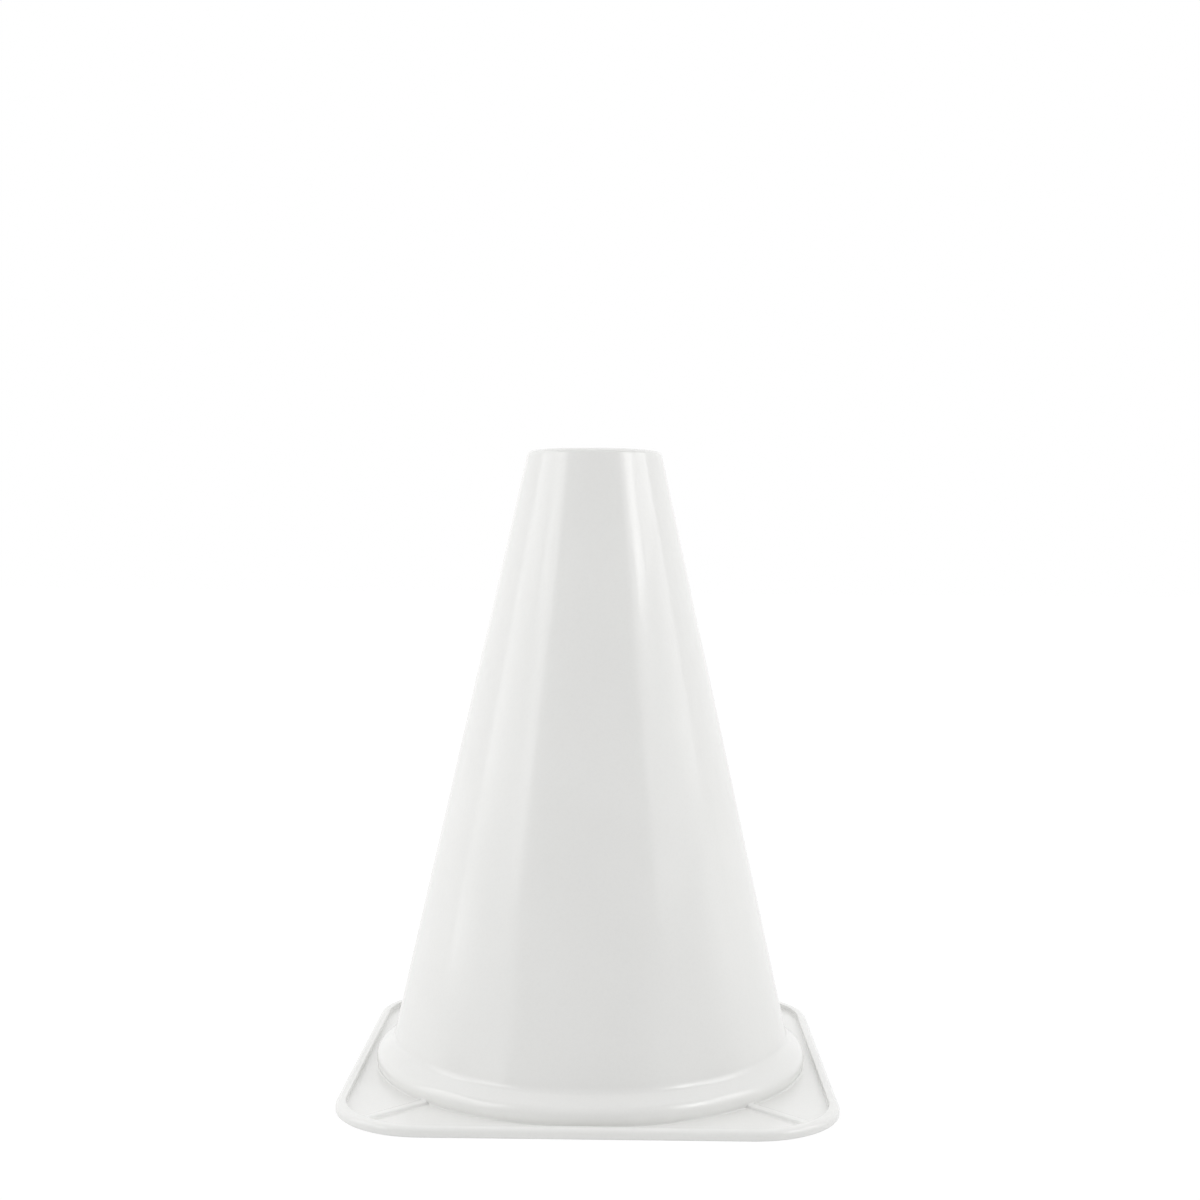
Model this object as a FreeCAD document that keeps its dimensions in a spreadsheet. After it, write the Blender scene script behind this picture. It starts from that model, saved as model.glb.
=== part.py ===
import FreeCAD, Part
import math
import os
import Sketcher
from FreeCAD import Placement, Rotation, Vector

# A moulded marker cone on a square base: one hollow piece, open at the top and below.
# Sizes are in millimetres and +Z is up. The origin is on the floor, under the cone's axis.

NODE = "marker_cone"
SHEET = "Sizes"
CORNERS = 4
DIAGONAL = 45.0
FULL_TURN = 360.0
# Lengths and volumes closer than this count as the same
TOUCH = 1e-3

# Name, size and meaning of each driving dimension
SIZES = (
    ("height", 228.6, "floor to the flat top"),
    ("top_radius", 24.8, "outside of the wall, carried on to the top"),
    ("foot_radius", 75.7, "outside of the wall, carried on to the floor"),
    ("wall_thickness", 2.0, "measured level, the same all the way up"),
    ("lip_thickness", 3.6, "the flat turned-in lip at the top"),
    ("lip_round", 2.4, "rounding of the lip's outer edge"),
    ("lip_width", 4.8, "how far the lip turns in, from top_radius to the edge of the hole"),
    ("mouth_bevel", 0.6, "bevel of the hole's upper edge"),
    ("bead_stand", 3.9, "how far the bead stands out past foot_radius, at its widest"),
    ("bead_round", 4.8, "radius of the bead's own section"),
    ("bead_middle", 4.0, "height of the bead's widest line"),
    ("bead_tuck", 2.5, "how far below that line its round goes on, before it drops straight"),
    ("bead_slope", 37.6, "angle from level of the bead's straight upper side, in degrees"),
    ("base_margin", 6.9, "from the bead's widest line to a side of the square base"),
    ("corner_radius", 32.0, "the base's outer corners"),
    ("panel_thickness", 1.5, "the flat of the base"),
    ("rim_width", 3.6, "the raised rim round the base"),
    ("rim_height", 3.3, "floor to the top of the rim"),
    ("rim_round", 2.0, "rounding of the rim's upper outer edge"),
    ("rim_bevel", 0.4, "bevels of the rim's upper inner and lower outer edges"),
    ("rib_width", 4.2, "the stiffening rib in each corner"),
    ("rib_height", 1.0, "how far a rib stands above the panel"),
    ("rib_round", 0.8, "rounding of a rib's two upper edges"),
)

# Formulas that several features share
BEAD_CENTRE = "{foot_radius} + {bead_stand} - {bead_round}"
HALF_BASE = "{foot_radius} + {bead_stand} + {base_margin}"
HALF_TURN = "(90 - {bead_slope}) / 2"

# Ends of a line or an arc, and its centre, as a sketch numbers them
START, END, CENTRE = range(1, 4)
# A sketch's own origin and level axis
ORIGIN = (-1, START)
LEVEL_AXIS = -1


def fill_sheet(document):
    """Puts the driving dimensions in a sheet and returns them by name."""
    sheet = document.addObject("Spreadsheet::Sheet", SHEET)
    for row, (name, number, meaning) in enumerate(SIZES, start=1):
        sheet.set(f"A{row}", name)
        sheet.set(f"B{row}", str(number))
        sheet.setAlias(f"B{row}", name)
        sheet.set(f"C{row}", meaning)
    document.recompute()
    return {name: number for name, number, meaning in SIZES}


def origin_part(body, role):
    """Returns one of the body's own planes or axes."""
    return next(part for part in body.Origin.OriginFeatures if part.Role == role)


def cell(formula):
    """Turns {name} in a formula into that name's cell."""
    return formula.replace("{", SHEET + ".").replace("}", "")


def bead_centre(sizes):
    return sizes["foot_radius"] + sizes["bead_stand"] - sizes["bead_round"]


def half_base(sizes):
    return sizes["foot_radius"] + sizes["bead_stand"] + sizes["base_margin"]


class Drawing:
    """A sketch on one of a body's own planes, drawn near its size and then measured."""

    def __init__(self, body, name, role, offset=Placement()):
        self.sketch = body.newObject("Sketcher::SketchObject", name)
        self.sketch.AttachmentSupport = [(origin_part(body, role), "")]
        self.sketch.MapMode = "FlatFace"
        self.sketch.AttachmentOffset = offset

    def line(self, x1, y1, x2, y2):
        return self.sketch.addGeometry(Part.LineSegment(Vector(x1, y1, 0), Vector(x2, y2, 0)), False)

    def circle(self, x, y, radius):
        return self.sketch.addGeometry(Part.Circle(Vector(x, y, 0), Vector(0, 0, 1), radius), False)

    def arc(self, x, y, radius, first, last):
        """Draws an arc anticlockwise from one angle to another, in degrees."""
        whole = Part.Circle(Vector(x, y, 0), Vector(0, 0, 1), radius)
        return self.sketch.addGeometry(Part.ArcOfCircle(whole, math.radians(first), math.radians(last)), False)

    def rule(self, kind, *places):
        self.sketch.addConstraint(Sketcher.Constraint(kind, *places))

    def join(self, *ends):
        """Joins consecutive pairs of ends, each given as (edge, end)."""
        for first, second in zip(ends[0::2], ends[1::2]):
            self.rule("Coincident", *first, *second)

    def measure(self, name, formula, kind, *places):
        """Adds a dimension at its drawn length and hands it to the sheet."""
        if kind == "Radius":
            drawn = self.sketch.Geometry[places[0]].Radius
        else:
            gap = self.sketch.getPoint(*places[2:]) - self.sketch.getPoint(*places[:2])
            drawn = gap.x if kind == "DistanceX" else gap.y
        index = self.sketch.addConstraint(Sketcher.Constraint(kind, *places, drawn))
        self.sketch.renameConstraint(index, name)
        self.sketch.setExpression("Constraints." + name, cell(formula))


def draw_taper(drawing, foot, top, height, foot_formula, top_formula, height_formula):
    """Draws half the section of a solid cone with its end cut off."""
    floor = drawing.line(0, 0, foot, 0)
    side = drawing.line(foot, 0, top, height)
    roof = drawing.line(top, height, 0, height)
    axis = drawing.line(0, height, 0, 0)
    drawing.join((floor, END), (side, START), (side, END), (roof, START))
    drawing.join((roof, END), (axis, START), (axis, END), (floor, START))
    drawing.rule("Coincident", floor, START, *ORIGIN)
    drawing.rule("Horizontal", floor)
    drawing.rule("Horizontal", roof)
    drawing.rule("Vertical", axis)
    drawing.measure("foot", foot_formula, "DistanceX", floor, START, floor, END)
    drawing.measure("top", top_formula, "DistanceX", roof, END, roof, START)
    drawing.measure("height", height_formula, "DistanceY", axis, END, axis, START)


def revolve(body, name, kind, drawing):
    """Turns a drawing about the cone's axis, as added or as removed material."""
    feature = body.newObject(kind, name)
    feature.Profile = drawing.sketch
    feature.ReferenceAxis = (drawing.sketch, ["V_Axis"])
    feature.Angle = FULL_TURN


def dress_edges(document, body, name, kind, measure, wanted):
    """Rounds or bevels the edges of the body so far that the given test picks out."""
    document.recompute()
    before = body.Tip
    edges = before.Shape.Edges
    chosen = [f"Edge{number}" for number, edge in enumerate(edges, start=1) if wanted(edge)]
    if not chosen:
        raise RuntimeError(f"{name}: no edge to dress")
    feature = body.newObject(kind, name)
    feature.Base = (before, chosen)
    feature.setExpression(measure, cell("{" + name + "}"))
    document.recompute()


def is_level_circle(edge):
    return isinstance(edge.Curve, Part.Circle) and abs(abs(edge.Curve.Axis.z) - 1) < TOUCH


def add_cone(document, body, sizes):
    """The cone's outside, solid for now, with its top edge rounded over."""
    drawing = Drawing(body, "ConeSection", "XZ_Plane")
    draw_taper(drawing, sizes["foot_radius"], sizes["top_radius"], sizes["height"],
               "{foot_radius}", "{top_radius}", "{height}")
    revolve(body, "Cone", "PartDesign::Revolution", drawing)
    dress_edges(document, body, "lip_round", "PartDesign::Fillet", "Radius",
                lambda edge: is_level_circle(edge) and edge.CenterOfMass.z > sizes["height"] / 2)


def half_turn(sizes):
    """Half the angle that the bead's round turns through above its widest line."""
    return math.radians(90 - sizes["bead_slope"]) / 2


def add_bead(body, sizes):
    """The bead round the foot: straight to the floor, then round, then sloping up into the wall.

    The slope leaves the round smoothly and runs on inside the wall, to one radius past the round's centre.
    """
    radius = sizes["bead_round"]
    middle = sizes["bead_middle"]
    centre = bead_centre(sizes)
    tuck_angle = math.asin(sizes["bead_tuck"] / radius)
    foot = centre + radius * math.cos(tuck_angle)
    turn = 2 * half_turn(sizes)
    bend_end = (centre + radius * math.cos(turn), middle + radius * math.sin(turn))
    top = middle + radius / math.tan(turn / 2)

    drawing = Drawing(body, "BeadSection", "XZ_Plane")
    floor = drawing.line(0, 0, foot, 0)
    side = drawing.line(foot, 0, foot, middle - sizes["bead_tuck"])
    bend = drawing.arc(centre, middle, radius, -math.degrees(tuck_angle), math.degrees(turn))
    slope = drawing.line(*bend_end, centre - radius, top)
    roof = drawing.line(centre - radius, top, 0, top)
    axis = drawing.line(0, top, 0, 0)
    drawing.join((floor, END), (side, START), (side, END), (bend, START), (slope, END), (roof, START))
    drawing.join((roof, END), (axis, START), (axis, END), (floor, START))
    drawing.rule("Tangent", bend, END, slope, START)
    drawing.rule("Coincident", floor, START, *ORIGIN)
    drawing.rule("Horizontal", floor)
    drawing.rule("Vertical", side)
    drawing.rule("Horizontal", roof)
    drawing.rule("Vertical", axis)
    drawing.measure("round", "{bead_round}", "Radius", bend)
    drawing.measure("middle", "{bead_middle}", "DistanceY", *ORIGIN, bend, CENTRE)
    drawing.measure("centre", BEAD_CENTRE, "DistanceX", *ORIGIN, bend, CENTRE)
    drawing.measure("tuck", "{bead_tuck}", "DistanceY", bend, START, bend, CENTRE)
    drawing.measure("slope_end", "{bead_round}", "DistanceX", slope, END, bend, CENTRE)
    drawing.measure("slope_top", "{bead_round} / tan(" + HALF_TURN + ")",
                    "DistanceY", bend, CENTRE, slope, END)
    revolve(body, "Bead", "PartDesign::Revolution", drawing)


def draw_base_line(body, sizes):
    """The rounded square along the middle of the rim, begun halfway up its right side."""
    half = half_base(sizes) - sizes["rim_width"] / 2
    bend = sizes["corner_radius"] - sizes["rim_width"] / 2
    flat = half - bend

    drawing = Drawing(body, "BaseLine", "XY_Plane")
    edges = [
        drawing.line(half, 0, half, flat),
        drawing.arc(flat, flat, bend, 0, 90),
        drawing.line(flat, half, -flat, half),
        drawing.arc(-flat, flat, bend, 90, 180),
        drawing.line(-half, flat, -half, -flat),
        drawing.arc(-flat, -flat, bend, 180, 270),
        drawing.line(-flat, -half, flat, -half),
        drawing.arc(flat, -flat, bend, 270, 360),
        drawing.line(half, -flat, half, 0),
    ]
    arcs = edges[1::2]
    right_upper, back, left, front, right_lower = edges[0::2]
    for edge, following in zip(edges[:-1], edges[1:]):
        drawing.rule("Tangent", edge, END, following, START)
    drawing.rule("Coincident", right_lower, END, right_upper, START)
    drawing.rule("PointOnObject", right_upper, START, LEVEL_AXIS)
    drawing.rule("Vertical", right_upper)
    drawing.rule("Horizontal", back)
    drawing.rule("Vertical", left)
    drawing.rule("Horizontal", front)
    drawing.rule("Vertical", right_lower)
    for arc in arcs[1:]:
        drawing.rule("Equal", arcs[0], arc)
    half_formula = HALF_BASE + " - {rim_width} / 2"
    drawing.measure("bend", "{corner_radius} - {rim_width} / 2", "Radius", arcs[0])
    drawing.measure("right", half_formula, "DistanceX", *ORIGIN, right_upper, START)
    drawing.measure("left", half_formula, "DistanceX", left, START, *ORIGIN)
    drawing.measure("back", half_formula, "DistanceY", *ORIGIN, back, START)
    drawing.measure("front", half_formula, "DistanceY", front, START, *ORIGIN)
    return drawing


def add_panel(body, base_line):
    """The flat of the base, as far as the middle of the rim."""
    panel = body.newObject("PartDesign::Pad", "Panel")
    panel.Profile = base_line.sketch
    panel.setExpression("Length", cell("{panel_thickness}"))


def add_rim(body, base_line, sizes):
    """The rim: an upright strip, rounded on top towards the outside, swept round the base line."""
    outside = half_base(sizes)
    inside = outside - sizes["rim_width"]
    top = sizes["rim_height"]
    bend = sizes["rim_round"]
    cut = sizes["rim_bevel"]

    drawing = Drawing(body, "RimSection", "XZ_Plane")
    floor = drawing.line(inside, 0, outside - cut, 0)
    toe = drawing.line(outside - cut, 0, outside, cut)
    outer = drawing.line(outside, cut, outside, top - bend)
    shoulder = drawing.arc(outside - bend, top - bend, bend, 0, 90)
    roof = drawing.line(outside - bend, top, inside + cut, top)
    brow = drawing.line(inside + cut, top, inside, top - cut)
    inner = drawing.line(inside, top - cut, inside, 0)
    drawing.join((floor, END), (toe, START), (toe, END), (outer, START), (roof, END), (brow, START))
    drawing.join((brow, END), (inner, START), (inner, END), (floor, START))
    drawing.rule("Tangent", outer, END, shoulder, START)
    drawing.rule("Tangent", shoulder, END, roof, START)
    drawing.rule("PointOnObject", floor, START, LEVEL_AXIS)
    drawing.rule("Horizontal", floor)
    drawing.rule("Vertical", outer)
    drawing.rule("Horizontal", roof)
    drawing.rule("Vertical", inner)
    drawing.measure("toe_width", "{rim_bevel}", "DistanceX", toe, START, toe, END)
    drawing.measure("toe_height", "{rim_bevel}", "DistanceY", toe, START, toe, END)
    drawing.measure("brow_width", "{rim_bevel}", "DistanceX", brow, END, brow, START)
    drawing.measure("brow_height", "{rim_bevel}", "DistanceY", brow, END, brow, START)
    drawing.measure("shoulder", "{rim_round}", "Radius", shoulder)
    drawing.measure("outside", HALF_BASE, "DistanceX", *ORIGIN, outer, START)
    drawing.measure("width", "{rim_width}", "DistanceX", inner, END, outer, START)
    drawing.measure("top", "{rim_height}", "DistanceY", *ORIGIN, roof, START)

    rim = body.newObject("PartDesign::AdditivePipe", "Rim")
    rim.Profile = drawing.sketch
    rim.Spine = (base_line.sketch, [])


def add_ribs(document, body, sizes):
    """A low round-topped rib along each diagonal, drawn from the axis out to inside the rim.

    The hollow, cut later, takes away what lies within the bead.
    """
    half = sizes["rib_width"] / 2
    top = sizes["panel_thickness"] + sizes["rib_height"]
    bend = sizes["rib_round"]
    # The section stands across the diagonal, so the sketch plane is turned about Z
    across = Placement(Vector(0, 0, 0), Rotation(Vector(0, 1, 0), DIAGONAL))

    drawing = Drawing(body, "RibSection", "XZ_Plane", across)
    floor = drawing.line(-half, 0, half, 0)
    right = drawing.line(half, 0, half, top - bend)
    right_bend = drawing.arc(half - bend, top - bend, bend, 0, 90)
    roof = drawing.line(half - bend, top, bend - half, top)
    left_bend = drawing.arc(bend - half, top - bend, bend, 90, 180)
    left = drawing.line(-half, top - bend, -half, 0)
    drawing.join((floor, END), (right, START), (left, END), (floor, START))
    drawing.rule("Tangent", right, END, right_bend, START)
    drawing.rule("Tangent", right_bend, END, roof, START)
    drawing.rule("Tangent", roof, END, left_bend, START)
    drawing.rule("Tangent", left_bend, END, left, START)
    drawing.rule("Horizontal", floor)
    drawing.rule("Vertical", right)
    drawing.rule("Vertical", left)
    drawing.rule("Horizontal", roof)
    drawing.rule("Equal", right_bend, left_bend)
    drawing.rule("Symmetric", floor, START, floor, END, *ORIGIN)
    drawing.measure("bend", "{rib_round}", "Radius", right_bend)
    drawing.measure("width", "{rib_width}", "DistanceX", floor, START, floor, END)
    drawing.measure("top", "{panel_thickness} + {rib_height}", "DistanceY", *ORIGIN, roof, START)

    rib = body.newObject("PartDesign::Pad", "Rib")
    rib.Profile = drawing.sketch
    rib.Reversed = True
    rib.setExpression("Length", cell("(" + HALF_BASE + " - {corner_radius}) * sqrt(2)"
                                     " + {corner_radius} - {rim_width} / 2"))
    document.recompute()

    ribs = body.newObject("PartDesign::PolarPattern", "Ribs")
    ribs.Originals = [rib]
    ribs.Axis = (origin_part(body, "Z_Axis"), [""])
    ribs.Angle = FULL_TURN
    ribs.Occurrences = CORNERS
    body.Tip = ribs


def cut_hollow(body, sizes):
    """The space inside the wall, up to the underside of the lip."""
    room = sizes["height"] - sizes["lip_thickness"]
    slope = (sizes["foot_radius"] - sizes["top_radius"]) / sizes["height"]
    foot = sizes["foot_radius"] - sizes["wall_thickness"]

    drawing = Drawing(body, "HollowSection", "XZ_Plane")
    draw_taper(drawing, foot, foot - slope * room, room,
               "{foot_radius} - {wall_thickness}",
               "{top_radius} - {wall_thickness}"
               " + ({foot_radius} - {top_radius}) * {lip_thickness} / {height}",
               "{height} - {lip_thickness}")
    revolve(body, "Hollow", "PartDesign::Groove", drawing)


def cut_bead_hollow(body, sizes):
    """The space under the bead: upright, then sloping in, one wall below the bead's own slope."""
    room = sizes["bead_round"] - sizes["wall_thickness"]
    outside = bead_centre(sizes) + room
    shoulder = sizes["bead_middle"] + room * math.tan(half_turn(sizes))
    inside = outside - room - sizes["bead_round"]
    top = shoulder + (outside - inside) * math.tan(math.radians(sizes["bead_slope"]))

    drawing = Drawing(body, "BeadHollowSection", "XZ_Plane")
    floor = drawing.line(0, 0, outside, 0)
    side = drawing.line(outside, 0, outside, shoulder)
    slope = drawing.line(outside, shoulder, inside, top)
    roof = drawing.line(inside, top, 0, top)
    axis = drawing.line(0, top, 0, 0)
    drawing.join((floor, END), (side, START), (side, END), (slope, START), (slope, END), (roof, START))
    drawing.join((roof, END), (axis, START), (axis, END), (floor, START))
    drawing.rule("Coincident", floor, START, *ORIGIN)
    drawing.rule("Horizontal", floor)
    drawing.rule("Vertical", side)
    drawing.rule("Horizontal", roof)
    drawing.rule("Vertical", axis)
    room_formula = "({bead_round} - {wall_thickness})"
    width_formula = "({bead_round} + {bead_round} - {wall_thickness})"
    drawing.measure("outside", BEAD_CENTRE + " + " + room_formula,
                    "DistanceX", floor, START, floor, END)
    drawing.measure("shoulder", "{bead_middle} + " + room_formula + " * tan(" + HALF_TURN + ")",
                    "DistanceY", side, START, side, END)
    drawing.measure("slope_width", width_formula, "DistanceX", slope, END, slope, START)
    drawing.measure("slope_height", width_formula + " * tan({bead_slope})",
                    "DistanceY", slope, START, slope, END)
    revolve(body, "BeadHollow", "PartDesign::Groove", drawing)


def cut_mouth(document, body, sizes):
    """The round hole in the top, with its upper edge bevelled."""
    height = sizes["height"]
    radius = sizes["top_radius"] - sizes["lip_width"]

    drawing = Drawing(body, "MouthCircle", "XY_Plane", Placement(Vector(0, 0, height), Rotation()))
    drawing.sketch.setExpression("AttachmentOffset.Base.z", cell("{height}"))
    circle = drawing.circle(0, 0, radius)
    drawing.rule("Coincident", circle, CENTRE, *ORIGIN)
    drawing.measure("radius", "{top_radius} - {lip_width}", "Radius", circle)

    mouth = body.newObject("PartDesign::Pocket", "Mouth")
    mouth.Profile = drawing.sketch
    mouth.setExpression("Length", cell("{lip_thickness}"))
    dress_edges(document, body, "mouth_bevel", "PartDesign::Chamfer", "Size",
                lambda edge: is_level_circle(edge)
                and abs(edge.Curve.Radius - radius) < TOUCH
                and abs(edge.CenterOfMass.z - height) < TOUCH)


def check_document(document, body):
    """Stops at any failed object, any step that changed nothing and any bad shape."""
    for item in document.Objects:
        if "Invalid" in item.State or "Error" in item.State:
            raise RuntimeError(f"{item.Label}: {item.State}")
    before = 0.0
    for step in body.Group:
        if step.isDerivedFrom("PartDesign::Feature"):
            volume = step.Shape.Volume
            if abs(volume - before) < TOUCH:
                raise RuntimeError(f"{step.Label} changed nothing")
            before = volume
    shape = body.Shape
    if shape.isNull() or not shape.isValid() or len(shape.Solids) != 1:
        raise RuntimeError("the cone isn't one sound solid")


def main():
    document = FreeCAD.newDocument("MarkerCone")
    sizes = fill_sheet(document)
    body = document.addObject("PartDesign::Body", "MarkerCone")
    body.Label = NODE
    body.Placement = Placement(Vector(0, 0, 0), Rotation())

    add_cone(document, body, sizes)
    add_bead(body, sizes)
    base_line = draw_base_line(body, sizes)
    add_panel(body, base_line)
    add_rim(body, base_line, sizes)
    add_ribs(document, body, sizes)
    cut_hollow(body, sizes)
    cut_bead_hollow(body, sizes)
    cut_mouth(document, body, sizes)

    document.recompute()
    check_document(document, body)
    os.makedirs("parts", exist_ok=True)
    body.Shape.exportStep(f"parts/{NODE}.step")
    box = body.Shape.optimalBoundingBox(False, False)
    print(f"{NODE}: {box.XLength:.2f} x {box.YLength:.2f} x {box.ZLength:.2f} mm, {body.Shape.Volume:.0f} mm3")


main()
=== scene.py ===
"""A white moulded marker cone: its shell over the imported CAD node, its plastic and its white studio."""

import math

import bmesh
import bpy
from bpy.props import FloatProperty, FloatVectorProperty, PointerProperty
from bpy.types import Operator, Panel, PropertyGroup
from mathutils import Matrix, Vector


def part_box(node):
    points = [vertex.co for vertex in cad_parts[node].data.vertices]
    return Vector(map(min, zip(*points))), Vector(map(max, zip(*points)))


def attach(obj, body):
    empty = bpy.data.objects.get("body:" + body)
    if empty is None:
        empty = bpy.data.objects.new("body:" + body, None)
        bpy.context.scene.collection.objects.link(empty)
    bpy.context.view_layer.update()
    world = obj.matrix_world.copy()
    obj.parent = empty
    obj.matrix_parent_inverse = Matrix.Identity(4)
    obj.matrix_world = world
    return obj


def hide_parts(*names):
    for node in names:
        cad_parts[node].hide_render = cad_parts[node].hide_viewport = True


bl_info = {
    "name": "White marker cone",
    "version": (1, 0, 0),
    "blender": (4, 5, 0),
    "location": "3D View > Sidebar > Marker cone",
    "description": "Builds a moulded marker cone, its satin plastic and a white studio round it",
    "category": "Object",
}

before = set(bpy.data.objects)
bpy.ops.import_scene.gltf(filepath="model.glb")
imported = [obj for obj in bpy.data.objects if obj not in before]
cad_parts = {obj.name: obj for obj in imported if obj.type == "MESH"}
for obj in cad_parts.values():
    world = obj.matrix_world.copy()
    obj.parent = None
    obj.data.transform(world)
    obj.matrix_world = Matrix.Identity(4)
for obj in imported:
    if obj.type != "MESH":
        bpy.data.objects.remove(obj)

# The CAD node that the shell stands for, and what the record calls its body
NODE = "marker_cone"
BODY = "root"

CAD_LOW, CAD_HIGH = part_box(NODE)
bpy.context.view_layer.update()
MM = 0.001

# Columns of points round the cone, in each eighth of a turn
SIDE_COLUMNS = 26
CORNER_COLUMNS = 16
# Rows of points down the outside of the wall, up its inside and round the bead
WALL_ROWS = 34
INNER_ROWS = 24
BEAD_STEPS = 14
# Where the other rings stand, as shares of the way down the bead's underside, round a small rounding,
# from the bead out to the rim and from the base's edge in under it
BEAD_SHARES = (0.2, 0.4, 0.6, 0.8, 1.0)
ROUND_SHARES = (0.33, 0.67, 1.0)
PANEL_SHARES = (0.06, 0.18, 0.34, 0.5, 0.66, 0.82, 0.94, 1.0)
UNDERSIDE_SHARES = (0.1, 0.3, 0.5, 0.7, 0.9)
# The underside's direction at the hollow's foot comes from a point this many small roundings further out
UNDERSIDE_LEAD = 5
# Half the section of a rib: how far from its middle line, and how much of its height is left there
RIB_SECTION = (
    (1.90, 0.00), (1.55, 0.00), (1.32, 0.00), (1.19, 0.04), (1.09, 0.14), (1.01, 0.33), (0.95, 0.54),
    (0.86, 0.74), (0.74, 0.90), (0.59, 0.98), (0.40, 1.00), (0.20, 1.00), (0.00, 1.00),
)

# The camera: its focal length in pixels of the photograph, and where it stands and looks, in degrees
IMAGE_PIXELS = 1200
FOCAL_PIXELS = 1725
STAND_BEARING = 1.012
STAND_DISTANCE = 0.6427
STAND_HEIGHT = 0.1943
TURN_RIGHT = 0.209
LOOK_DOWN = 1.876
ROLL = 0.413
# Its sensor's width in millimetres, and how far it sees
SENSOR_WIDTH = 36.0
SIGHT_LIMIT = 50.0

# The floor reaches this far to each side, lies this far below the cone, and glows this much where seen
FLOOR_HALF = 6.0
FLOOR_DROP = 0.05 * MM
FLOOR_GLOW = 1.06
# The glow's share of the floor next to the cone, and the distances between which it comes up to all of it
GLOW_SHARE = 0.85
GLOW_NEAR = 0.12
GLOW_FAR = 0.6
# The room's front fades into its back where the Y of a direction is between minus this and this
ROOM_TURN = 0.35
# How far the softboxes hang from the cone: the lamp that lights a little behind the one that shines
LIGHT_AWAY = 1.33
SHINE_AWAY = 1.3
# How high the softboxes aim
AIM_HEIGHT = 0.11
# Name, left and right edge as bearings from the camera's side, lower and upper edge as elevations,
# then how bright each is to matt surfaces and in reflections, where 1 is white
SOFTBOXES = (
    ("left_edge", -55, -47, 20, 42, 1.93, 1.93),
    ("left_upper", -68, -55, 20, 42, 2.34, 2.34),
    ("left_wide", -100, -68, 20, 42, 0.65, 1.87),
    ("left_lower_edge", -60, -50, 8, 20, 1.79, 1.79),
    ("left_lower", -100, -60, 8, 20, 0.90, 1.35),
    ("left_foot", -100, -45, -2, 8, 0.41, 0.87),
    ("right_edge", 46, 54, 22, 42, 1.45, 1.45),
    ("right_upper", 54, 68, 22, 42, 3.58, 4.61),
    ("right_wide", 68, 100, 22, 42, 0.92, 2.70),
    ("right_lower_edge", 46, 60, 8, 22, 1.31, 1.31),
    ("right_lower", 60, 100, 8, 22, 0.0, 1.36),
    ("right_foot", 32, 100, -2, 8, 0.0, 0.47),
)


def length(name, default, description):
    """A size in millimetres, kept in metres as every size is in Blender."""
    return FloatProperty(name=name, description=description, default=default * MM,
                         min=0.0, precision=5, unit="LENGTH")


def brightness(name, default, description):
    """How bright a part of the studio is, where 1 is white."""
    return FloatProperty(name=name, description=description, default=default, min=0.0)


class ConeSizes(PropertyGroup):
    top_radius: length("Top radius", 24.8, "Outside of the wall, carried on to the top")
    foot_radius: length("Foot radius", 75.7, "Outside of the wall, carried on to the floor")
    wall: length("Wall", 2.0, "Thickness of the wall, measured level")
    lip: length("Lip thickness", 3.6, "Thickness of the flat lip at the top")
    lip_round: length("Lip round", 2.4, "Rounding of the lip's outer edge")
    hole_radius: length("Hole radius", 20.0, "Radius of the hole in the top")
    hole_round: length("Hole round", 0.6, "Rounding of the hole's upper edge")
    bead_round: length("Bead round", 4.8, "Radius of the section of the bead round the foot")
    bead_radius: length("Bead radius", 79.6, "Radius of the bead's widest line")
    bead_middle: length("Bead middle", 4.0, "Height of the bead's widest line")
    bead_slope: FloatProperty(name="Bead slope", description="Angle from level of the bead's upper side",
                              default=math.radians(37.6), min=0.1, max=1.4, subtype="ANGLE", unit="ROTATION")
    crease_round: length("Crease round", 4.0, "Rounding of the hollow between the wall and the bead")
    foot_round: length("Foot round", 0.5, "Rounding where the bead meets the panel")
    corner_radius: length("Corner radius", 32.0, "Radius of the base's corners, seen from above")
    panel: length("Panel thickness", 1.5, "Thickness of the flat of the base")
    rim_width: length("Rim width", 3.6, "Width of the raised rim round the base")
    rim_height: length("Rim height", 3.3, "Height of the rim above the floor")
    rim_round: length("Rim round", 2.0, "Rounding of the rim's upper outer edge")
    edge_round: length("Edge round", 0.3, "Rounding of the small edges")
    rib_half_width: length("Rib half width", 2.1, "Half the width of a corner's stiffening rib")
    rib_height: length("Rib height", 1.0, "Height of a rib above the panel")


class PlasticLook(PropertyGroup):
    colour: FloatVectorProperty(name="Colour", description="Colour of the plastic", subtype="COLOR",
                                default=(0.86, 0.86, 0.845), min=0.0, max=1.0)
    shade: FloatVectorProperty(name="Shade", description="Colour of its slightly darker clouds",
                               subtype="COLOR", default=(0.835, 0.835, 0.82), min=0.0, max=1.0)
    roughness: FloatProperty(name="Roughness", description="Roughness of the satin surface",
                             default=0.14, min=0.0, max=1.0, subtype="FACTOR")
    grain: length("Grain", 0.45, "Size of the mould's fine grain")
    grain_depth: length("Grain depth", 0.0225, "Height of the mould's fine grain")
    cloud: length("Clouds", 45.0, "Size of the clouds in the colour")
    speckle: length("Speckle", 0.99, "Size of the speckle in the colour")
    wave: length("Waves", 30.0, "Size of the wall's slight waves")
    wave_depth: length("Wave depth", 0.12, "Height of the wall's slight waves")


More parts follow.
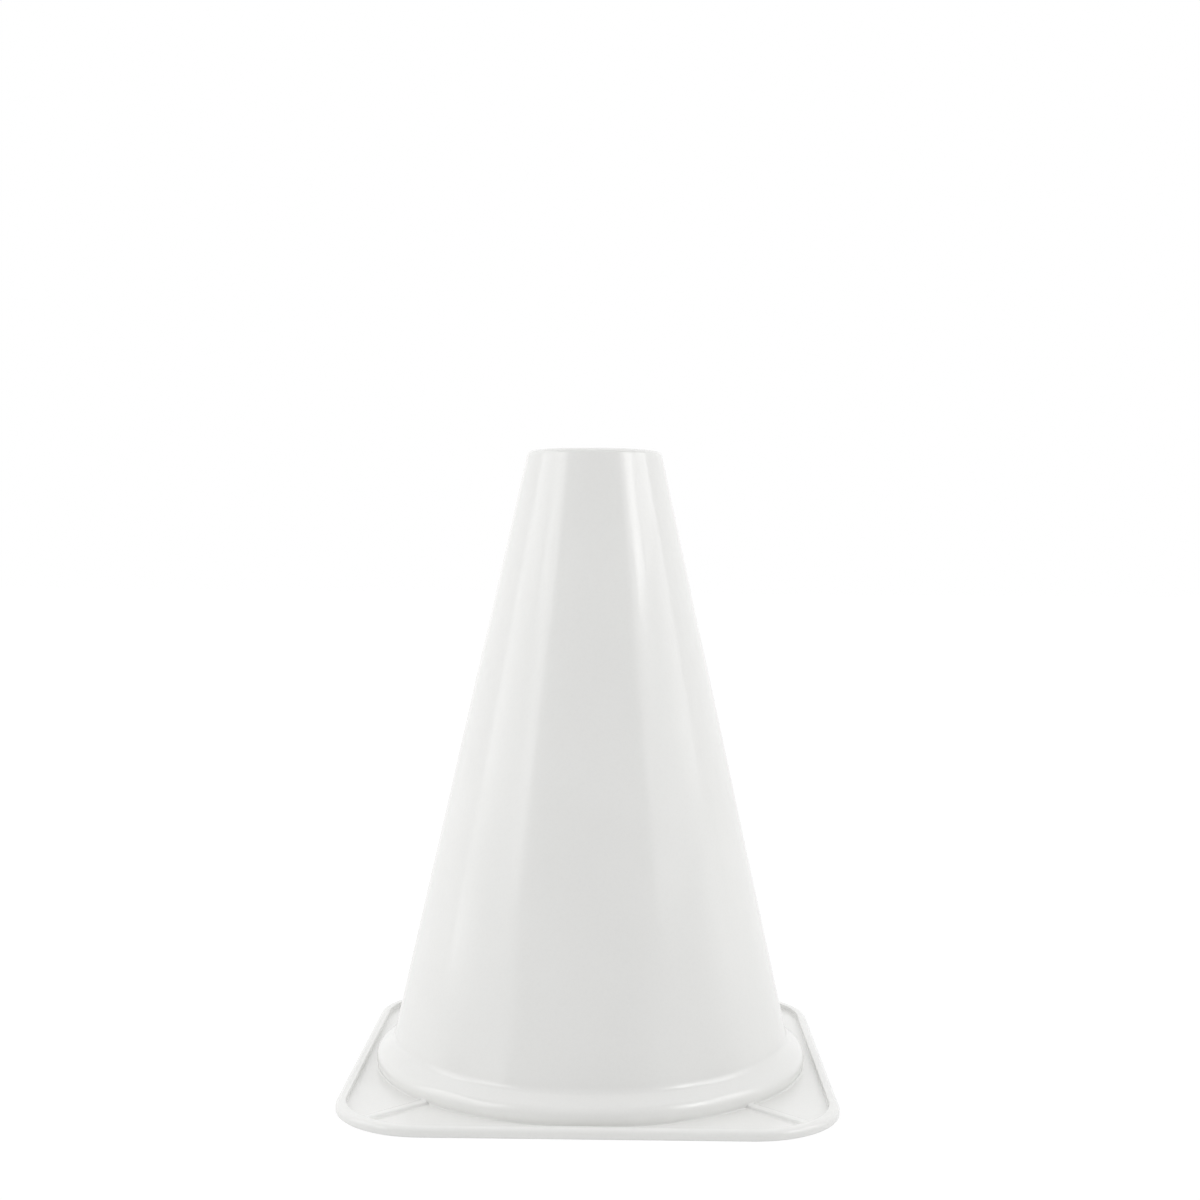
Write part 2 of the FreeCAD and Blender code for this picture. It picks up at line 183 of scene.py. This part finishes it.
class StudioLook(PropertyGroup):
    floor_colour: FloatVectorProperty(name="Floor colour", description="Colour of the floor", subtype="COLOR",
                                      default=(0.8, 0.8, 0.8), min=0.0, max=1.0)
    soft_front: brightness("Soft front", 0.654, "Light from the room in front of the cone")
    soft_behind: brightness("Soft behind", 1.033, "Light from the room behind the cone")
    shine_front: brightness("Shine front", 0.0, "Reflection of the room in front of the cone")
    shine_behind: brightness("Shine behind", 1.08, "Reflection of the room behind the cone")
    floor_shine: brightness("Floor shine", 1.0, "Reflection of the floor")


class Value:
    """A socket of a node, written in sums as a number is."""

    def __init__(self, board, socket):
        self.board = board
        self.socket = socket

    def __add__(self, other):
        return self.board.sum("ADD", self, other)

    def __sub__(self, other):
        return self.board.sum("SUBTRACT", self, other)

    def __rsub__(self, other):
        return self.board.sum("SUBTRACT", other, self)

    def __mul__(self, other):
        return self.board.sum("MULTIPLY", self, other)

    __radd__ = __add__
    __rmul__ = __mul__


class Board:
    """A node tree that is laid out from nothing."""

    def __init__(self, tree):
        self.tree = tree
        self.tree.nodes.clear()

    def node(self, kind, settings=None, sockets=None):
        """Adds any node: its settings first, then a value or a link for each socket named."""
        node = self.tree.nodes.new(kind)
        for name, setting in (settings or {}).items():
            setattr(node, name, setting)
        for name, given in (sockets or {}).items():
            socket = self.find(node.inputs, name)
            if isinstance(given, Value):
                self.tree.links.new(given.socket, socket)
            else:
                socket.default_value = given
        return node

    def find(self, sockets, name):
        """Finds a socket by its place, its identifier or its name."""
        if isinstance(name, int):
            return sockets[name]
        for socket in sockets:
            if socket.identifier == name:
                return socket
        return sockets[name]

    def value(self, kind, output, settings=None, sockets=None):
        """Adds a node and returns one of its outputs."""
        return Value(self, self.find(self.node(kind, settings, sockets).outputs, output))

    def sum(self, operation, first, second):
        return self.value("ShaderNodeMath", 0, {"operation": operation}, {0: first, 1: second})

    def fade(self, value, start, end):
        """Runs smoothly from 0 where the value is at start to 1 where it is at end."""
        return self.value("ShaderNodeMapRange", "Result", {"interpolation_type": "SMOOTHSTEP"},
                          {"Value": value, "From Min": start, "From Max": end})

    def blend(self, factor, first, second):
        """Mixes two colours."""
        return self.value("ShaderNodeMix", "Result_Color", {"data_type": "RGBA"},
                          {"Factor_Float": factor, "A_Color": first, "B_Color": second})


def opaque(colour):
    return (*colour, 1.0)


class Column:
    """One upright line of points: its bearing from the axis, its point of the base line and its rib lift."""

    def __init__(self, bearing, edge, outward, lift):
        self.bearing = bearing
        self.edge = edge
        self.outward = outward
        self.lift = lift

    def turned(self, angle):
        turn = Matrix.Rotation(angle, 2)
        return Column(self.bearing + angle, turn @ self.edge, turn @ self.outward, self.lift)

    def mirrored(self):
        """The same line beyond the first diagonal."""
        return Column(math.pi / 2 - self.bearing, self.edge.yx, self.outward.yx, self.lift)

    def round_point(self, radius, height):
        return Vector((radius * math.cos(self.bearing), radius * math.sin(self.bearing), height))

    def base_point(self, inset, height):
        x, y = self.edge - self.outward * inset
        return Vector((x, y, height))


def eighth_columns(sizes, half_base):
    """The columns from the middle of the base's right side up to and with the first diagonal."""
    flat = half_base - sizes.corner_radius
    inside = half_base - sizes.rim_width
    inside_bend = sizes.corner_radius - sizes.rim_width
    centre = Vector((flat, flat))

    def corner(angle):
        """The corner's point and direction at an angle from the diagonal."""
        outward = Vector((math.cos(math.pi / 4 - angle), math.sin(math.pi / 4 - angle)))
        return centre + outward * sizes.corner_radius, outward

    def seen_at(angle):
        """Bearing of the rim's inner line there, from the axis."""
        edge, outward = corner(angle)
        x, y = edge - outward * sizes.rim_width
        return math.atan2(y, x)

    columns = []
    last_bearing = math.atan2(flat, inside)
    for number in range(SIDE_COLUMNS):
        bearing = last_bearing * number / SIDE_COLUMNS
        columns.append(Column(bearing, Vector((half_base, inside * math.tan(bearing))), Vector((1, 0)), 0.0))

    # A rib's columns keep their distance from the diagonal, so its sides are straight
    widest = RIB_SECTION[0][0] * sizes.rib_half_width
    rib_angle = math.asin(widest / inside_bend)
    rib_bearing = math.pi / 4 - math.asin(widest / sizes.bead_radius)
    shift = rib_bearing - seen_at(rib_angle)
    for number in range(CORNER_COLUMNS):
        share = number / CORNER_COLUMNS
        angle = math.pi / 4 + (rib_angle - math.pi / 4) * share
        columns.append(Column(seen_at(angle) + shift * share, *corner(angle), 0.0))
    for share, lift in RIB_SECTION:
        distance = share * sizes.rib_half_width
        bearing = math.pi / 4 - math.asin(distance / sizes.bead_radius)
        columns.append(Column(bearing, *corner(math.asin(distance / inside_bend)), lift * sizes.rib_height))
    return columns


def all_columns(sizes, half_base):
    """The columns all the way round."""
    eighth = eighth_columns(sizes, half_base)
    quarter = eighth + [column.mirrored() for column in reversed(eighth[1:-1])]
    return [column.turned(math.pi / 2 * turn) for turn in range(4) for column in quarter]


def rounding(before, corner, after, radius, steps):
    """The arc that rounds off a corner of a section, from the side before to the side after."""
    before, corner, after = Vector(before), Vector(corner), Vector(after)
    first = (before - corner).normalized()
    second = (after - corner).normalized()
    half = first.angle(second) / 2
    centre = corner + (first + second).normalized() * radius / math.sin(half)
    start = corner + first * radius / math.tan(half) - centre
    end = corner + second * radius / math.tan(half) - centre
    turn = start.angle_signed(end)
    return [centre + Matrix.Rotation(-turn * step / steps, 2) @ start for step in range(steps + 1)]


def between(first, last, count):
    """Points that part the way between two others, without the two."""
    first, last = Vector(first), Vector(last)
    return [first.lerp(last, number / (count + 1)) for number in range(1, count + 1)]


def meet(sizes, spot, wall_foot, wall_slope):
    """Where the bead's slope, drawn up from a point, meets a side of the wall."""
    run = 1 / math.tan(sizes.bead_slope)
    level = (spot.x + spot.y * run - wall_foot) / (run - wall_slope)
    return Vector((wall_foot - wall_slope * level, level))


def outer_section(sizes, height):
    """The round part of the outside, from the hole's edge down to the bead's widest line."""
    wall_slope = (sizes.foot_radius - sizes.top_radius) / height
    bead_centre = Vector((sizes.bead_radius - sizes.bead_round, sizes.bead_middle))
    turn = math.pi / 2 - sizes.bead_slope
    bead = [bead_centre + sizes.bead_round * Vector((math.cos(angle), math.sin(angle)))
            for angle in (turn * (1 - step / BEAD_STEPS) for step in range(BEAD_STEPS + 1))]
    under_lip = (sizes.hole_radius, height - sizes.lip)
    hole_edge = (sizes.hole_radius, height)
    lip_edge = (sizes.top_radius, height)
    crease = meet(sizes, bead[0], sizes.foot_radius, wall_slope)
    hole_arc = rounding(under_lip, hole_edge, lip_edge, sizes.hole_round, 4)
    lip_arc = rounding(hole_edge, lip_edge, crease, sizes.lip_round, 9)
    crease_arc = rounding(lip_edge, crease, bead[0], sizes.crease_round, 8)
    section = hole_arc + between(hole_arc[-1], lip_arc[0], 2) + lip_arc
    section += between(lip_arc[-1], crease_arc[0], WALL_ROWS) + crease_arc
    return section + between(crease_arc[-1], bead[0], 2) + bead


def inner_section(sizes, height):
    """The hollow's side, from the foot's inner edge up to the hole's lower edge."""
    wall_slope = (sizes.foot_radius - sizes.top_radius) / height
    wall_foot = sizes.foot_radius - sizes.wall
    room = sizes.bead_round - sizes.wall
    side = sizes.bead_radius - sizes.wall
    shoulder = Vector((side, sizes.bead_middle + room * math.tan((math.pi / 2 - sizes.bead_slope) / 2)))
    under_lip = height - sizes.lip
    corners = (
        (side + UNDERSIDE_LEAD * sizes.edge_round, 0.0),
        (side, 0.0),
        shoulder,
        meet(sizes, shoulder, wall_foot, wall_slope),
        (wall_foot - wall_slope * under_lip, under_lip),
        (sizes.hole_radius, under_lip),
        (sizes.hole_radius, height),
    )
    # How round each corner between is, against edge_round, and how many rows stand before it
    bends = ((1.0, 0), (2.0, 2), (2.0, 3), (3.0, INNER_ROWS), (1.0, 2))
    section = []
    for number, (share, row_count) in enumerate(bends, start=1):
        arc = rounding(*corners[number - 1:number + 2], sizes.edge_round * share, 3)
        if section:
            section += between(section[-1], arc[0], row_count)
        section += arc
    return section


def shell_rings(sizes, height, half_base):
    """Every ring of points round the cone, each as a way to place one column's point, in a closed loop."""
    bead_centre = sizes.bead_radius - sizes.bead_round
    small = sizes.edge_round
    rings = []

    def add_round(points):
        for point in points:
            rings.append(lambda column, spot=tuple(point): column.round_point(*spot))

    def add_base(points):
        for point in points:
            rings.append(lambda column, spot=tuple(point): column.base_point(*spot))

    def bead_side(column, share):
        """A point on the bead's underside, part of the way down to the panel or the rib."""
        down = (sizes.bead_middle - sizes.panel - column.lift - sizes.foot_round) * share
        return bead_centre + math.sqrt(sizes.bead_round ** 2 - down ** 2), sizes.bead_middle - down

    def bead_foot(column, share):
        """A point on the rounding between the bead and the panel."""
        radius, level = bead_side(column, 1.0)
        turn = share * math.pi / 2
        return (radius + sizes.foot_round * (1 - math.cos(turn)),
                level - sizes.foot_round * math.sin(turn))

    def panel_point(column, share):
        inner = column.round_point(*bead_foot(column, 1.0))
        outer = column.base_point(sizes.rim_width + small, sizes.panel + column.lift)
        return inner.lerp(outer, share)

    def rim_foot(column, share):
        """A point on the rounding between the panel and the rim's inner side."""
        turn = share * math.pi / 2
        return column.base_point(sizes.rim_width + small * (1 - math.sin(turn)),
                                 sizes.panel + column.lift + small * (1 - math.cos(turn)))

    def underside(column, share):
        outer = column.base_point(small, 0.0)
        inner = column.round_point(bead_centre + sizes.bead_round - sizes.wall + small, 0.0)
        return outer.lerp(inner, share)

    add_round(outer_section(sizes, height))
    for share in BEAD_SHARES:
        rings.append(lambda column, share=share: column.round_point(*bead_side(column, share)))
    for share in ROUND_SHARES:
        rings.append(lambda column, share=share: column.round_point(*bead_foot(column, share)))
    for share in PANEL_SHARES:
        rings.append(lambda column, share=share: panel_point(column, share))
    for share in ROUND_SHARES:
        rings.append(lambda column, share=share: rim_foot(column, share))
    inner_top = (sizes.rim_width, sizes.rim_height)
    outer_top = (0.0, sizes.rim_height)
    toe = (0.0, 0.0)
    brow = rounding((sizes.rim_width, 0.0), inner_top, outer_top, small, 3)
    shoulder = rounding(inner_top, outer_top, toe, sizes.rim_round, 8)
    toe_arc = rounding(outer_top, toe, (sizes.rim_width, 0.0), small, 3)
    add_base(brow + between(brow[-1], shoulder[0], 2) + shoulder)
    add_base(between(shoulder[-1], toe_arc[0], 2) + toe_arc)
    for share in UNDERSIDE_SHARES:
        rings.append(lambda column, share=share: underside(column, share))
    add_round(inner_section(sizes, height))
    return rings


def add_object(name, data):
    """Puts a mesh, a lamp or a camera in the scene as an object."""
    thing = bpy.data.objects.new(name, data)
    bpy.context.scene.collection.objects.link(thing)
    return thing


def plastic(look):
    """Satin white plastic with the mould's fine grain, faint clouds and slightly uneven walls."""
    material = bpy.data.materials.new("satin_white_plastic")
    material.use_nodes = True
    board = Board(material.node_tree)
    place = board.value("ShaderNodeTexCoord", "Object")

    def noise(size, detail, roughness=0.5):
        return board.value("ShaderNodeTexNoise", "Fac", {"noise_dimensions": "3D"},
                           {"Vector": place, "Scale": 1 / size, "Detail": detail, "Roughness": roughness})

    clouds = board.fade(noise(look.cloud, 2.0), 0.35, 0.65)
    speckle = board.fade(noise(look.speckle, 3.0, 0.6), 0.4, 0.75)
    grain = noise(look.grain, 2.0, 0.6)
    wave = noise(look.wave, 1.0)
    colour = board.blend(clouds * 0.5 + speckle * 0.5, opaque(look.colour), opaque(look.shade))
    # Both noises lie round 0.5, so they lean the roughness to either side
    roughness = look.roughness + 0.05 * (grain - 0.5) + 0.06 * (clouds - 0.5)
    waved = board.value("ShaderNodeBump", "Normal", None,
                        {"Strength": 1.0, "Distance": look.wave_depth, "Height": wave})
    grained = board.value("ShaderNodeBump", "Normal", None,
                          {"Strength": 0.3, "Distance": look.grain_depth, "Height": grain,
                           "Normal": waved})
    shader = board.value("ShaderNodeBsdfPrincipled", "BSDF", None,
                         {"Base Color": colour, "Roughness": roughness, "Normal": grained, "IOR": 1.5})
    board.node("ShaderNodeOutputMaterial", None, {"Surface": shader})
    return material


class MARKERCONE_OT_shell(Operator):
    """Build the cone, its bead, its base with rim and ribs, and its hollow, as one moulded shell"""
    bl_idname = "markercone.shell"
    bl_label = "Moulded shell"

    def execute(self, context):
        sizes = context.scene.markercone_sizes
        height = CAD_HIGH.z - CAD_LOW.z
        half_base = (CAD_HIGH.x - CAD_LOW.x) / 2
        columns = all_columns(sizes, half_base)
        rings = shell_rings(sizes, height, half_base)
        build = bmesh.new()
        points = [[build.verts.new(place(column)) for column in columns] for place in rings]
        for upper, lower in zip(points, points[1:] + points[:1]):
            for number, corner in enumerate(upper):
                build.faces.new((upper[number - 1], lower[number - 1], lower[number], corner))
        bmesh.ops.recalc_face_normals(build, faces=build.faces)
        mesh = bpy.data.meshes.new("cone_shell")
        build.to_mesh(mesh)
        build.free()
        mesh.shade_smooth()
        mesh.materials.append(plastic(context.scene.markercone_plastic))
        shell = add_object("cone_shell", mesh)
        even = shell.modifiers.new("even_shading", "WEIGHTED_NORMAL")
        even.keep_sharp = True
        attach(shell, BODY)
        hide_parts(NODE)
        return {"FINISHED"}


class MARKERCONE_OT_studio(Operator):
    """Set the cone in a white studio: a pale floor, soft lights on both sides and the camera"""
    bl_idname = "markercone.studio"
    bl_label = "White studio"

    def execute(self, context):
        look = context.scene.markercone_studio
        context.scene.view_settings.view_transform = "Standard"
        self.lay_floor(look)
        self.light_world(context, look)
        for softbox in SOFTBOXES:
            self.hang_softbox(*softbox)
        self.aim_camera(context)
        return {"FINISHED"}

    def lay_floor(self, look):
        build = bmesh.new()
        bmesh.ops.create_grid(build, x_segments=8, y_segments=8, size=FLOOR_HALF)
        mesh = bpy.data.meshes.new("studio_floor")
        build.to_mesh(mesh)
        build.free()
        material = bpy.data.materials.new("pale_floor")
        material.use_nodes = True
        board = Board(material.node_tree)
        place = board.value("ShaderNodeTexCoord", "Object")
        distance = board.value("ShaderNodeVectorMath", "Value", {"operation": "LENGTH"}, {0: place})
        far = board.fade(distance, GLOW_NEAR, GLOW_FAR)
        ray = board.node("ShaderNodeLightPath")
        seen = board.sum("MAXIMUM", Value(board, ray.outputs["Is Camera Ray"]),
                         Value(board, ray.outputs["Is Glossy Ray"]))
        glow = FLOOR_GLOW + (look.floor_shine - FLOOR_GLOW) * Value(board, ray.outputs["Is Glossy Ray"])
        white = board.value("ShaderNodeEmission", 0, None, {"Color": (1, 1, 1, 1), "Strength": glow})
        matt = board.value("ShaderNodeBsdfDiffuse", 0, None, {"Color": opaque(look.floor_colour)})
        mixed = board.value("ShaderNodeMixShader", 0, None,
                            {0: seen * (GLOW_SHARE + (1 - GLOW_SHARE) * far), 1: matt, 2: white})
        board.node("ShaderNodeOutputMaterial", None, {"Surface": mixed})
        mesh.materials.append(material)
        floor = add_object("studio_floor", mesh)
        floor.location.z = CAD_LOW.z - FLOOR_DROP

    def light_world(self, context, look):
        world = bpy.data.worlds.new("white_surround")
        context.scene.world = world
        world.use_nodes = True
        board = Board(world.node_tree)
        ray = board.node("ShaderNodeLightPath")
        seen = board.sum("MAXIMUM", Value(board, ray.outputs["Is Camera Ray"]),
                         Value(board, ray.outputs["Is Transmission Ray"]))
        glossy = Value(board, ray.outputs["Is Glossy Ray"])
        way = board.value("ShaderNodeSeparateXYZ", "Y", None,
                          {0: board.value("ShaderNodeTexCoord", "Generated")})
        behind = board.fade(way, -ROOM_TURN, ROOM_TURN)
        soft = look.soft_front + (look.soft_behind - look.soft_front) * behind
        shine = look.shine_front + (look.shine_behind - look.shine_front) * behind
        lit = soft + (shine - soft) * glossy
        surround = board.value("ShaderNodeBackground", 0, None, {"Color": (1, 1, 1, 1), "Strength": lit})
        white = board.value("ShaderNodeBackground", 0, None, {"Color": (1, 1, 1, 1), "Strength": 1.0})
        mixed = board.value("ShaderNodeMixShader", 0, None, {0: seen, 1: surround, 2: white})
        board.node("ShaderNodeOutputWorld", None, {"Surface": mixed})

    def hang_softbox(self, name, left, right, low, high, light, shine):
        """Hangs an area light that faces the cone and fills a part of the room, with its edges in degrees.

        Its brightness to matt surfaces and its brightness in reflections are set apart, on two lamps.
        """
        elevation = math.radians((low + high) / 2)
        wide_share = 2 * math.tan(math.radians(right - left) / 2) * math.cos(elevation)
        tall_share = 2 * math.tan(math.radians(high - low) / 2)
        aim = (Matrix.Translation((0, 0, AIM_HEIGHT))
               @ Matrix.Rotation(math.radians((left + right) / 2), 4, "Z")
               @ Matrix.Rotation(math.pi / 2 - elevation, 4, "X"))
        for kind, bright, away in (("light", light, LIGHT_AWAY), ("shine", shine, SHINE_AWAY)):
            if not bright:
                continue
            lamp = bpy.data.lights.new(f"{name}_{kind}", "AREA")
            lamp.shape = "RECTANGLE"
            lamp.size = wide_share * away
            lamp.size_y = tall_share * away
            lamp.energy = bright * math.pi * lamp.size * lamp.size_y
            thing = add_object(lamp.name, lamp)
            thing.matrix_world = aim @ Matrix.Translation((0, 0, away))
            thing.visible_camera = False
            thing.visible_diffuse = kind == "light"
            thing.visible_glossy = kind == "shine"

    def aim_camera(self, context):
        camera = bpy.data.cameras.new("camera")
        camera.sensor_width = SENSOR_WIDTH
        camera.lens = SENSOR_WIDTH * FOCAL_PIXELS / IMAGE_PIXELS
        camera.clip_end = SIGHT_LIMIT
        thing = add_object("camera", camera)
        stand = Matrix.Rotation(math.radians(STAND_BEARING), 4, "Z")
        thing.matrix_world = (stand @ Matrix.Translation((0, -STAND_DISTANCE, STAND_HEIGHT))
                              @ Matrix.Rotation(math.radians(-TURN_RIGHT), 4, "Z")
                              @ Matrix.Rotation(math.radians(90 - LOOK_DOWN), 4, "X")
                              @ Matrix.Rotation(math.radians(ROLL), 4, "Z"))
        context.scene.camera = thing


class MARKERCONE_PT_panel(Panel):
    """Lists the steps that build the marker cone and its studio"""
    bl_idname = "MARKERCONE_PT_panel"
    bl_label = "Marker cone"
    bl_space_type = "VIEW_3D"
    bl_region_type = "UI"
    bl_category = "Marker cone"

    def draw(self, context):
        for operator in OPERATORS:
            self.layout.operator(operator.bl_idname)
        for group in (context.scene.markercone_sizes, context.scene.markercone_plastic,
                      context.scene.markercone_studio):
            box = self.layout.box()
            for name in group.bl_rna.properties.keys():
                if name not in ("rna_type", "name"):
                    box.prop(group, name)


OPERATORS = (MARKERCONE_OT_shell, MARKERCONE_OT_studio)
GROUPS = {"markercone_sizes": ConeSizes, "markercone_plastic": PlasticLook, "markercone_studio": StudioLook}


def register():
    for group in GROUPS.values():
        bpy.utils.register_class(group)
    for name, group in GROUPS.items():
        setattr(bpy.types.Scene, name, PointerProperty(type=group))
    for kind in (*OPERATORS, MARKERCONE_PT_panel):
        bpy.utils.register_class(kind)


def unregister():
    for kind in (MARKERCONE_PT_panel, *reversed(OPERATORS)):
        bpy.utils.unregister_class(kind)
    for name in GROUPS:
        delattr(bpy.types.Scene, name)
    for group in GROUPS.values():
        bpy.utils.unregister_class(group)


def main():
    register()
    bpy.ops.markercone.shell()
    bpy.ops.markercone.studio()


if __name__ == "__main__":
    main()
